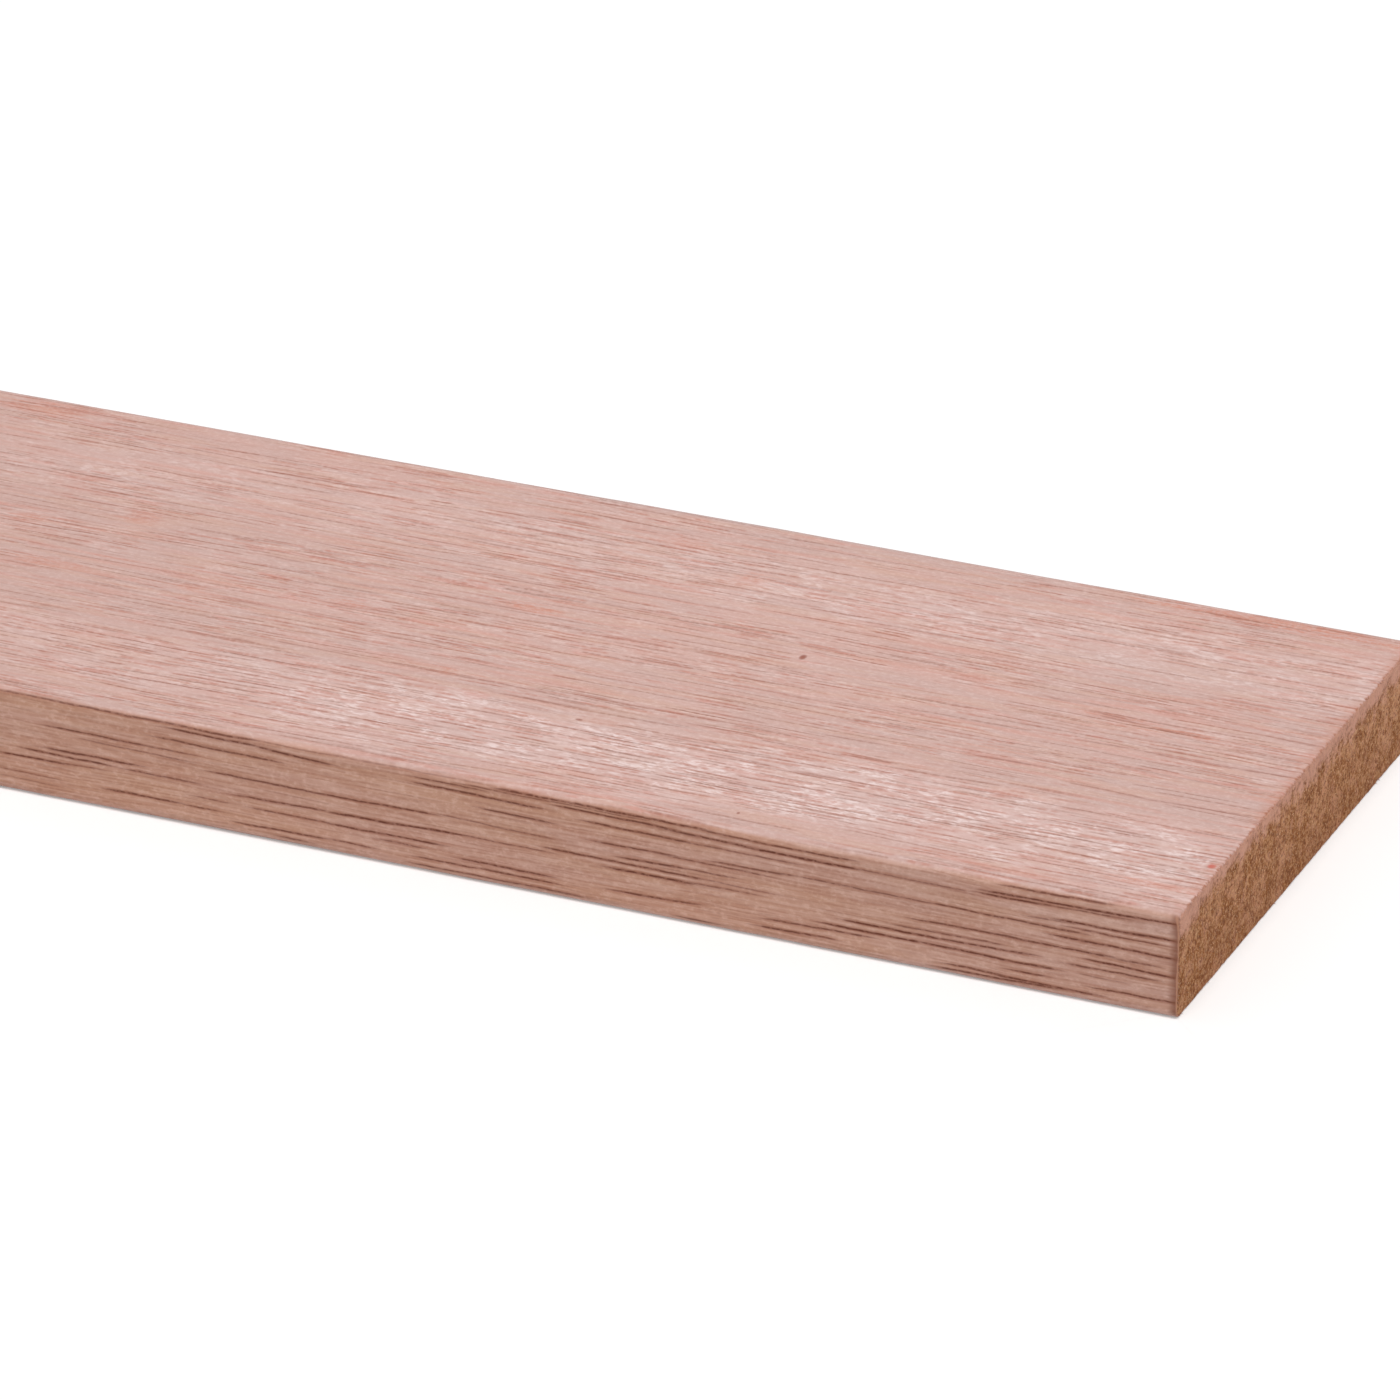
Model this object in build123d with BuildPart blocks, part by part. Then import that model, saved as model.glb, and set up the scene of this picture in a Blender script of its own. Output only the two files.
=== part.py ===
"""Planed hardwood batten: one length of solid timber, planed all round to a flat rectangular
section with rounded arrises, and crosscut square at both ends.

The origin is at the middle of the underside. X runs along the grain, Y across the wide face
and Z up, from the face that the batten lies on to its upper wide face.
"""

import os

from build123d import *

# Driving dimensions, in millimetres
LENGTH = 2400.0  # along the grain, from one sawn end to the other
WIDTH = 110.0  # across the wide planed faces
THICKNESS = 18.0  # from one wide planed face to the other
ARRIS_RADIUS = 1.5  # rounding that the planer leaves on the four long edges
END_BREAK = 0.4  # bevel round each sawn end, where the saw's burr is sanded off

PARTS_FOLDER = "parts"


with BuildPart() as batten:
    # The section stands on the underside, at the far left end
    with BuildSketch(Plane.YZ.offset(-LENGTH / 2)) as section:
        Rectangle(WIDTH, THICKNESS, align=(Align.CENTER, Align.MIN))
        fillet(section.vertices(), radius=ARRIS_RADIUS)
    extrude(amount=LENGTH)

    # Both crosscut ends lose their sharp rim
    sawn_ends = batten.faces().filter_by(Axis.X)
    chamfer(sawn_ends.edges(), length=END_BREAK)

batten.part.label = "batten"

os.makedirs(PARTS_FOLDER, exist_ok=True)
export_step(batten.part, os.path.join(PARTS_FOLDER, f"{batten.part.label}.step"))

box = batten.part.bounding_box()
print(f"batten: {box.size.X:.1f} x {box.size.Y:.1f} x {box.size.Z:.1f} mm, "
      f"{batten.part.volume / 1e6:.3f} litres")
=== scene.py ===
"""Looks of the planed hardwood batten.

The batten is one mesh: a long rounded section with slightly uneven arrises, and two sawn ends
with a rough face and a few torn fibres. Its wood is one node material that tells the wide
faces, the narrow faces and the ends apart by the attributes "narrow" and "end".

Lengths are in millimetres until the mesh is made. x runs along the board from its middle to the
end that the camera sees, y across it and away from the camera, and z up from its underside.
"""

import math

import bpy
import numpy as np
from mathutils import Matrix, Vector, noise


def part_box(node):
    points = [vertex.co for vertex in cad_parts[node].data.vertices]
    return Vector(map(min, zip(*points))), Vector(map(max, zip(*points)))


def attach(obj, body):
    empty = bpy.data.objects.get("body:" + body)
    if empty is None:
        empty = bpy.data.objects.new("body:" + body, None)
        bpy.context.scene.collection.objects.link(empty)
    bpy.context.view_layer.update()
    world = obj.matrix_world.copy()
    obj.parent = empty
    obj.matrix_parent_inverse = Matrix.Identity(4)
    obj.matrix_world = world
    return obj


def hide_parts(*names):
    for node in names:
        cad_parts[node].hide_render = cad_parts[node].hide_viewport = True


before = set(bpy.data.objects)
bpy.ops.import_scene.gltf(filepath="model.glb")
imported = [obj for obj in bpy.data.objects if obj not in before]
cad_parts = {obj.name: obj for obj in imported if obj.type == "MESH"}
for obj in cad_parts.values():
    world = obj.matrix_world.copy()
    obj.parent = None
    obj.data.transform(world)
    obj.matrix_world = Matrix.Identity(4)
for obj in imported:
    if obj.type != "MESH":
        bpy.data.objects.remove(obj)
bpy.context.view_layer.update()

MM = 0.001
LOW, HIGH = (np.round(np.array(corner) / MM, 3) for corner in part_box("batten"))
LENGTH, WIDTH, THICKNESS = HIGH - LOW
END_X = HIGH[0]
HALF_WIDTH = WIDTH / 2

# The camera, fitted to the board's outline in the photograph
CAMERA_PLACE = (1.60194, -1.18531, 0.60926)
CAMERA_RIGHT = (0.918738, 0.394814, 0.006509)
CAMERA_UP = (-0.171674, 0.384536, 0.907006)
CAMERA_BACK = (0.355596, -0.834418, 0.421067)
CAMERA_LENS = 226.3
CAMERA_SENSOR = 36.0
CAMERA_NEAREST, CAMERA_FURTHEST = 0.05, 400.0

# The section's corners in order round it, seen from the right end: (side in Y, side in Z)
CORNERS = ("near_bottom", "far_bottom", "far_top", "near_top")
CORNER_SIDE = np.array([(-1, -1), (1, -1), (1, 1), (-1, 1)])
ARC_START = np.radians([180, 270, 0, 90])

# The arrises: their radii, and how much, from which seed and over what length these wander
ARRIS_RADII = {"near_bottom": 1.5, "far_bottom": 1.5, "far_top": 1.5, "near_top": 1.25}
PLAIN_RADIUS = 1.5
RADIUS_WANDER = ((0.16, 10, 45), (0.07, 20, 9))
SMALLEST_RADIUS, LARGEST_RADIUS = 0.5, 1.75
LATTICE_SIZE = 4096

# The planer took less off the near upper arris further from the end: by how much less, and
# from where to where this grows
TIGHTER_BY, TIGHTER_FROM, TIGHTER_LENGTH = 0.60, 1080, 120

# How finely the section is divided, and how close to an arris a flat has its first point
ARRIS_STEPS = 7
WIDE_PARTS, NARROW_PARTS = 24, 5
END_WIDE_SPLIT, END_NARROW_SPLIT = 8, 5
FLAT_SUPPORT = 0.35
SAME_POINT = 1e-6

# The long skin stops short of each end, and its stations are closest where the camera looks:
# where each stretch stops and the step in it
SKIN_END = END_X - 3.0
STATION_STRETCHES = ((40 - SKIN_END, 2.0), (900, 8.0), (1120, 2.0), (SKIN_END - 0.5, 1.0))
FINE_START = 0.6

# The sawn face: how far in it lies on average, and the size, seed and depth of its roughness
SAWN_INSET = 0.30
SAWN_PLANE = END_X - SAWN_INSET
SAWN_DEPTH = 0.05
SAWN_ROUGHNESS = ((2.4, 5.0, 0.05), (0.7, 9.0, 0.07), (0.35, 13.0, 0.04))
SAWN_RINGS = (0.4, 0.72, 1.0)

# The broken rim of the sawn face, in the same way, with a knock at the near upper corner
RIM_BREAK = 0.34
RIM_ROUGHNESS = ((1.1, 20.0, 0.17), (4.5, 30.0, 0.14))
LEAST_BREAK, MOST_BREAK, DEEPEST_SHARE = 0.1, 1.1, 0.9
KNOCK_REACH, KNOCK_DEPTH = 2.2, 0.65
RIM_MIDDLE_IN, RIM_MIDDLE_BACK, RIM_MIDDLE_END = 0.22, 0.42, 0.45

# Torn fibres: how many stand along each edge of an end, and which way that edge faces in Y and Z
FIBRE_EDGES = ((260, 0, 1), (60, -1, 0), (36, 0, -1), (40, 1, 0))
FIBRE_SEEDS = {1: 41, -1: 42}
FIBRE_CORNER_GAP = 0.8
FIBRE_INSET = (0.12, 0.5)
FIBRE_LENGTH = (0.25, 0.75)
FIBRE_WIDTH = (0.05, 0.11)
FIBRE_BACK = (0.15, 0.5)
FIBRE_LEAN = 0.35
FIBRE_OUTWARD = 0.3
FIBRE_BASE_ANGLES = (0.3, 2.4, 4.5)
FIBRE_FACES = ((0, 1, 3), (1, 2, 3), (2, 0, 3), (2, 1, 0))
FIBRE_END = 0.55
TIP_GAP_SIDE, TIP_GAP_END = 0.02, 0.01

# The map for baking: the long faces in one strip, with a larger share for the stretch that the
# camera sees, and the two sawn faces side by side above it
MAP_RIGHT, MAP_LENGTH = 0.998, 0.996
LONG_MAP_TOP = 0.905
NEAR_SHARE = 0.34
NEAR_LENGTH = 260.0
END_MAP_LEFT = {1: 0.004, -1: 0.504}
END_MAP_LOW = 0.918
END_MAP_WIDTH, END_MAP_HEIGHT = 0.49, 0.078

# Each vertex keeps its own place in millimetres under these names, for the material
PLACE_NAMES = ("along_mm", "across_mm", "up_mm")

# How far in from the near and the far side the look of the narrow faces starts, and its blend
NARROW_START_NEAR, NARROW_START_FAR, NARROW_BLEND = 0.62, 1.15, 0.6


def new_object(name, data):
    thing = bpy.data.objects.new(name, data)
    bpy.context.scene.collection.objects.link(thing)
    return thing


def clamp(value, low, high):
    return min(max(value, low), high)


def smooth_wave(x, seed, length):
    """Smooth random values from -1 to 1 along x, with one random value every `length`."""
    x = np.asarray(x, dtype=float) / length
    lattice = np.random.default_rng(seed).uniform(-1, 1, LATTICE_SIZE)
    cell = np.floor(x).astype(int)
    part = x - cell
    part = part * part * (3 - 2 * part)
    return lattice[cell % LATTICE_SIZE] * (1 - part) + lattice[(cell + 1) % LATTICE_SIZE] * part


def flat_steps(length, parts):
    """Places along a flat, as fractions, with one near each end to hold the shading flat."""
    support = FLAT_SUPPORT / length
    inner = np.linspace(0, 1, parts + 1)[1:-1]
    return np.concatenate([[support], inner, [1 - support]])


def section_points(wide_split=1, narrow_split=1):
    """What each point round the section is: (corner, angle, None) or (corner, None, fraction)."""
    points = []
    for corner in range(4):
        for step in range(ARRIS_STEPS + 1):
            angle = ARC_START[corner] + math.pi / 2 * step / ARRIS_STEPS
            points.append((corner, angle, None))
        # The flat that follows the first and third corners is a wide one
        if corner % 2 == 0:
            side, parts, split = WIDTH, WIDE_PARTS, wide_split
        else:
            side, parts, split = THICKNESS, NARROW_PARTS, narrow_split
        steps = flat_steps(side - 2 * PLAIN_RADIUS, parts)
        for low, high in zip(steps, steps[1:]):
            for part in range(split):
                points.append((corner, None, low + (high - low) * part / split))
        points.append((corner, None, steps[-1]))
    return points


def corner_radii(x):
    """The four arris radii at each station, which wander a little along the board."""
    radii = []
    for index, name in enumerate(CORNERS):
        wander = sum(size * smooth_wave(x, seed + index, length) for size, seed, length in RADIUS_WANDER)
        radius = ARRIS_RADII[name] + wander
        if name == "near_top":
            radius = radius - TIGHTER_BY * np.clip((TIGHTER_FROM - np.asarray(x)) / TIGHTER_LENGTH, 0, 1)
        radii.append(np.clip(radius, SMALLEST_RADIUS, LARGEST_RADIUS))
    return np.array(radii).T


def section_ring(points, radii, inset=0.0):
    """The ring's (y, z) with these corner radii, moved inwards by `inset` times the radius."""
    centres = [
        np.array([side[0] * (HALF_WIDTH - radius), THICKNESS / 2 + side[1] * (THICKNESS / 2 - radius)])
        for side, radius in zip(CORNER_SIDE, radii)
    ]
    ring = []
    for corner, angle, fraction in points:
        after = (corner + 1) % 4
        if fraction is None:
            outward = np.array([math.cos(angle), math.sin(angle)])
            ring.append(centres[corner] + outward * radii[corner] * (1 - inset))
        else:
            angle = ARC_START[corner] + math.pi / 2
            outward = np.array([round(math.cos(angle)), round(math.sin(angle))])
            inner = centres[corner] * (1 - fraction) + centres[after] * fraction
            radius = radii[corner] * (1 - fraction) + radii[after] * fraction
            ring.append(inner + outward * radius * (1 - inset))
    return np.array(ring)


class Board:
    """Gathers the board's vertices, faces, attributes and map."""

    def __init__(self):
        self.points = []
        self.end = []
        self.faces = []
        self.maps = []

    def add(self, points, end):
        start = len(self.points)
        self.points.extend(points)
        self.end.extend([end] * len(points))
        return np.arange(start, len(self.points))

    def face(self, corners, uv, side):
        """Adds a face, turned round at the left end so that it still looks outward."""
        if side < 0:
            corners, uv = corners[::-1], uv[::-1]
        self.faces.append([int(c) for c in corners])
        self.maps.extend(uv)


def along_map(x):
    """U of a place along the board. The first stretch from the right end gets a larger share."""
    gone = END_X - x
    if gone < NEAR_LENGTH:
        share = gone / NEAR_LENGTH * NEAR_SHARE
    else:
        share = NEAR_SHARE + (gone - NEAR_LENGTH) / (LENGTH - NEAR_LENGTH) * (1 - NEAR_SHARE)
    return MAP_RIGHT - MAP_LENGTH * share


def round_map(points):
    """V of each point round the section, with one value more to close it."""
    ring = section_ring(points, [PLAIN_RADIUS] * 4)
    steps = np.linalg.norm(np.roll(ring, -1, axis=0) - ring, axis=1)
    run = np.concatenate([[0], np.cumsum(steps)])
    return run / run[-1] * LONG_MAP_TOP


def end_map(side, y, z):
    """The place of a point of a sawn face on the map."""
    u = END_MAP_LEFT[side] + (y + HALF_WIDTH) / WIDTH * END_MAP_WIDTH
    return (u, END_MAP_LOW + z / THICKNESS * END_MAP_HEIGHT)


def ring_quads(rings):
    """Each point's number and the quad that it starts, between rings that hold the same points."""
    for near, far in zip(rings, rings[1:]):
        count = len(near)
        for j in range(count):
            k = (j + 1) % count
            yield j, [near[j], near[k], far[k], far[j]]


def skin(board, rings, v, side=1):
    """The outer faces between rings, mapped by their places along and round the board."""
    for j, corners in ring_quads(rings):
        round_places = (v[j], v[j + 1], v[j + 1], v[j])
        uv = [(along_map(board.points[c][0]), place) for c, place in zip(corners, round_places)]
        board.face(corners, uv, side)


def fibre_roughness(y, z, side):
    """How far the sawn face stands in from its plane."""
    depth = SAWN_DEPTH
    for size, seed, amount in SAWN_ROUGHNESS:
        depth += amount * noise.noise(Vector((y / size, z / size, seed * side)))
    return depth


def rim_break(ring, side):
    """How much of the rim is broken away at each point."""
    out = []
    for y, z in ring:
        broken = RIM_BREAK
        for size, seed, amount in RIM_ROUGHNESS:
            broken += amount * noise.noise(Vector((y / size, z / size, seed + side)))
        knock = math.hypot(y + HALF_WIDTH, z - THICKNESS) / KNOCK_REACH
        broken += KNOCK_DEPTH * math.exp(-knock * knock)
        out.append(clamp(broken, LEAST_BREAK, MOST_BREAK))
    return np.array(out)


def end_cap(board, coarse_ids, coarse_points, coarse_x, fine_points, side):
    """The last stretch, the broken rim and the sawn face at one end."""
    radii = corner_radii(coarse_x)
    outer = section_ring(fine_points, radii)
    core = section_ring(fine_points, radii, inset=1.0)
    depth = np.linalg.norm(outer - core, axis=1)
    broken = np.minimum(rim_break(outer, side), depth * DEEPEST_SHARE)

    def rim_ring(share, back, end):
        ring = outer + (core - outer) * (share * broken / depth)[:, None]
        xs = side * (SAWN_PLANE - back)
        return board.add(list(zip(xs, ring[:, 0], ring[:, 1])), end)

    fine_x = coarse_x + side * FINE_START
    rough = np.array([fibre_roughness(y, z, side) for y, z in outer])
    rings = [
        board.add([(fine_x, y, z) for y, z in outer], 0.0),
        rim_ring(0.0, broken, 0.0),
        rim_ring(RIM_MIDDLE_IN, broken * RIM_MIDDLE_BACK, RIM_MIDDLE_END),
        rim_ring(1.0, rough, 1.0),
    ]
    join_rings(board, coarse_ids, coarse_points, rings[0], fine_points, side)
    skin(board, rings, round_map(fine_points), side)

    # The sawn face: rings in to the core, then a grid
    rim = outer + (core - outer) * (broken / depth)[:, None]
    inner_rings = [rings[-1]]
    for share in SAWN_RINGS:
        inner_rings.append(sawn_points(board, rim + (core - rim) * share, side))
    for _, corners in ring_quads(inner_rings):
        sawn_face(board, corners, side)
    fill_core(board, fine_points, inner_rings[-1], side)


def join_rings(board, coarse_ids, coarse_points, fine_ids, fine_points, side):
    """Polygons that join each edge of a coarse ring to the fine points beyond it."""
    v_coarse, v_fine = round_map(coarse_points), round_map(fine_points)
    u_coarse, u_fine = (along_map(board.points[ids[0]][0]) for ids in (coarse_ids, fine_ids))
    anchors = [fine_points.index(point) for point in coarse_points] + [len(fine_points)]
    for j in range(len(coarse_points)):
        k = (j + 1) % len(coarse_points)
        beyond = range(anchors[j + 1], anchors[j] - 1, -1)
        corners = [coarse_ids[j], coarse_ids[k]] + [fine_ids[i % len(fine_ids)] for i in beyond]
        uv = [(u_coarse, v_coarse[j]), (u_coarse, v_coarse[j + 1])] + [(u_fine, v_fine[i]) for i in beyond]
        board.face(corners, uv, side)


def sawn_points(board, places, side):
    """Points of the rough sawn face at these (y, z)."""
    return board.add([(side * (SAWN_PLANE - fibre_roughness(y, z, side)), y, z) for y, z in places], 1.0)


def sawn_face(board, corners, side):
    """A face of the sawn end, without corners that fall on one before."""
    kept = []
    for corner in corners:
        place = board.points[corner]
        if all(math.dist(place, board.points[other]) > SAME_POINT for other in kept):
            kept.append(corner)
    if len(kept) >= 3:
        board.face(kept, [end_map(side, *board.points[c][1:]) for c in kept], side)


def fill_core(board, points, core_ids, side):
    """A grid over the core rectangle, whose edge is the innermost ring."""
    edges = []
    for corner in range(4):
        flat = [i for i, point in enumerate(points) if point[0] == corner and point[2] is not None]
        last_arc = flat[0] - 1
        next_arc = (flat[-1] + 1) % len(points)
        edges.append([core_ids[i] for i in [last_arc, *flat, next_arc]])
    bottom, back, top, front = edges[0], edges[1], edges[2][::-1], edges[3][::-1]
    across = [point[2] for point in points if point[0] == 0 and point[2] is not None]
    rows = [bottom]
    for front_id, back_id in zip(front[1:-1], back[1:-1]):
        left, right = (np.array(board.points[i][1:]) for i in (front_id, back_id))
        inner = sawn_points(board, [tuple(left * (1 - a) + right * a) for a in across], side)
        rows.append([front_id, *inner, back_id])
    rows.append(top)
    for low, high in zip(rows, rows[1:]):
        for a in range(len(low) - 1):
            sawn_face(board, [low[a], low[a + 1], high[a + 1], high[a]], side)


def add_fibres(board, side):
    """Torn fibres that the saw left along the rim of an end: thin pointed slivers."""
    rng = np.random.default_rng(FIBRE_SEEDS[side])
    for count, out_y, out_z in FIBRE_EDGES:
        span = WIDTH if out_z else THICKNESS
        for _ in range(count):
            along = rng.uniform(FIBRE_CORNER_GAP, span - FIBRE_CORNER_GAP)
            inset = rng.uniform(*FIBRE_INSET)
            if out_y:
                y, z = out_y * (HALF_WIDTH - inset), along
            else:
                y, z = along - HALF_WIDTH, THICKNESS - inset if out_z > 0 else inset
            outward = np.array([out_y, out_z]) * FIBRE_OUTWARD
            add_sliver(board, rng, side, y, z, outward)


def add_sliver(board, rng, side, y, z, outward):
    """One torn fibre at this place: a narrow pyramid whose tip leans."""
    length = rng.uniform(*FIBRE_LENGTH)
    width = rng.uniform(*FIBRE_WIDTH)
    back = rng.uniform(*FIBRE_BACK)
    lean = np.array([rng.uniform(-FIBRE_LEAN, FIBRE_LEAN), rng.uniform(-FIBRE_LEAN, FIBRE_LEAN)])
    lean = lean + outward * rng.uniform(0, 1)
    root = SAWN_PLANE - back
    points = [(side * root, y + width * math.cos(a), z + width * math.sin(a)) for a in FIBRE_BASE_ANGLES]
    side_limit = HALF_WIDTH - TIP_GAP_SIDE
    tip_y = clamp(y + lean[0] * length, -side_limit, side_limit)
    tip_z = clamp(z + lean[1] * length, TIP_GAP_SIDE, THICKNESS - TIP_GAP_SIDE)
    tip_x = side * min(root + length, END_X - TIP_GAP_END)
    ids = board.add(points + [(tip_x, tip_y, tip_z)], FIBRE_END)
    for face in FIBRE_FACES:
        corners = [ids[i] for i in face]
        board.face(corners, [end_map(side, *board.points[c][1:]) for c in corners], side)


def station_list():
    """Places of the long skin's rings along the board."""
    start = -SKIN_END
    stretches = []
    for stop, step in STATION_STRETCHES:
        stretches.append(np.arange(start, stop, step))
        start = stop
    return np.concatenate(stretches + [[SKIN_END]])


def build_board():
    board = Board()
    coarse = section_points()
    fine = section_points(END_WIDE_SPLIT, END_NARROW_SPLIT)
    stations = station_list()
    rings = []
    for x, radii in zip(stations, corner_radii(stations)):
        rings.append(board.add([(x, y, z) for y, z in section_ring(coarse, radii)], 0.0))
    skin(board, rings, round_map(coarse))
    for side, last in ((1, -1), (-1, 0)):
        end_cap(board, rings[last], coarse, stations[last], fine, side)
    for side in (1, -1):
        add_fibres(board, side)
    return board


def board_object(board):
    mesh = bpy.data.meshes.new("batten_timber")
    mesh.from_pydata([tuple(np.array(p) * MM) for p in board.points], [], board.faces)
    mesh.polygons.foreach_set("use_smooth", [True] * len(mesh.polygons))
    places = np.array(board.points)
    start = HALF_WIDTH - np.where(places[:, 1] > 0, NARROW_START_FAR, NARROW_START_NEAR)
    narrow = np.clip((np.abs(places[:, 1]) - start) / NARROW_BLEND, 0, 1)
    values = {"end": board.end, "narrow": narrow * narrow * (3 - 2 * narrow)}
    values.update(zip(PLACE_NAMES, places.T))
    for name, numbers in values.items():
        attribute = mesh.attributes.new(name, "FLOAT", "POINT")
        attribute.data.foreach_set("value", np.array(numbers))
    layer = mesh.uv_layers.new(name="OFBake")
    layer.data.foreach_set("uv", np.array(board.maps).ravel())
    mesh.validate()
    mesh.update()
    return new_object("batten_timber", mesh)


# The wood


def tone(red, green, blue):
    """A linear colour from the 0 to 255 values that a screen shows."""
    def linear(value):
        value /= 255
        return value / 12.92 if value <= 0.04045 else ((value + 0.055) / 1.055) ** 2.4
    return (linear(red), linear(green), linear(blue), 1.0)


class Nodes:
    """Short ways to add nodes to a material or a world."""

    def __init__(self, owner):
        owner.use_nodes = True
        self.tree = owner.node_tree
        self.tree.nodes.clear()

    def new(self, kind, inputs=None, **settings):
        """A node with these settings, and values or links for its inputs by name or number."""
        node = self.tree.nodes.new(kind)
        for name, value in settings.items():
            setattr(node, name, value)
        for name, value in (inputs or {}).items():
            self.put(node.inputs[name], value)
        return node

    def put(self, socket, value):
        if isinstance(value, bpy.types.NodeSocket):
            self.tree.links.new(value, socket)
        else:
            socket.default_value = value

    def math(self, operation, *values):
        return self.new("ShaderNodeMath", dict(enumerate(values)), operation=operation).outputs[0]

    def add(self, *values):
        total = values[0]
        for value in values[1:]:
            total = self.math("ADD", total, value)
        return total

    def times(self, *values):
        total = values[0]
        for value in values[1:]:
            total = self.math("MULTIPLY", total, value)
        return total

    def without(self, value):
        return self.math("SUBTRACT", 1.0, value)

    def step(self, value, low, high, start=0.0, stop=1.0):
        """Goes smoothly from start to stop as the value goes from low to high."""
        inputs = dict(enumerate((value, low, high, start, stop)))
        return self.new("ShaderNodeMapRange", inputs, interpolation_type="SMOOTHSTEP").outputs[0]

    def noise(self, vector, detail, roughness, distortion):
        inputs = {"Scale": 1.0, "Detail": detail, "Roughness": roughness, "Distortion": distortion}
        return self.new("ShaderNodeTexNoise", {"Vector": vector, **inputs}).outputs["Fac"]

    def noise_line(self, place):
        """Smooth noise along one direction."""
        inputs = {"W": place, "Scale": 1.0, "Detail": 1.0}
        return self.new("ShaderNodeTexNoise", inputs, noise_dimensions="1D").outputs["Fac"]

    def mix(self, share, first, second):
        node = self.new("ShaderNodeMix", data_type="RGBA")
        self.put(node.inputs["Factor"], share)
        colours = [s for s in node.inputs if s.type == "RGBA"]
        self.put(colours[0], first)
        self.put(colours[1], second)
        return [s for s in node.outputs if s.type == "RGBA"][0]

    def scaled(self, *pairs):
        """Each value times its weight."""
        return [self.times(value, weight) for value, weight in pairs]


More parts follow.
